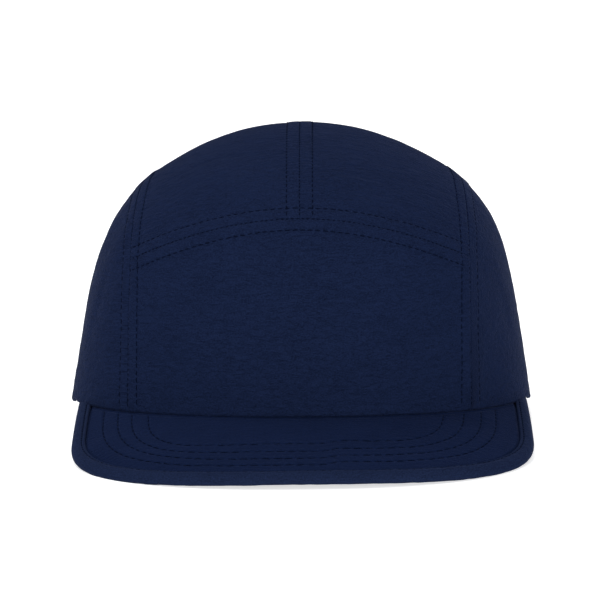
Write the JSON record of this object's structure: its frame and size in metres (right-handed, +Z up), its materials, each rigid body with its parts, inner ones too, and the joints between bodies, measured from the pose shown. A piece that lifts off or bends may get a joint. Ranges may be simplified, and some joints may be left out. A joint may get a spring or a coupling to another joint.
{
  "type": "five panel cap",
  "caption": "Soft low cap of crinkled cloth with a wide front panel, a short flat-cut peak and an adjustable webbing strap across the opening at the back.",
  "frame": {"origin": "on the surface that the cap stands on, under the middle of its whole outline", "axes": "+Z up, the peak points to -Y, and +X is to the wearer's left"},
  "size_m": [0.1754, 0.2536, 0.112],
  "materials": {
    "cap_cloth": "crinkled woven nylon with a soft sheen",
    "peak_cloth": "crinkled woven nylon laid smooth over a board, with a soft sheen",
    "band_cloth": "plain cotton twill, matte",
    "strap_webbing": "flat woven webbing, satin",
    "slide_plastic": "moulded, satin"
  },
  "bodies": {
    "root": {"front_panel": "cap_cloth", "top_panel_left": "cap_cloth", "top_panel_right": "cap_cloth", "side_panel_left": "cap_cloth", "side_panel_right": "cap_cloth", "peak": "peak_cloth", "peak_binding": "peak_cloth", "sweatband": "band_cloth", "back_strap": "strap_webbing", "strap_slide": "slide_plastic"}
  },
  "joints": []
}
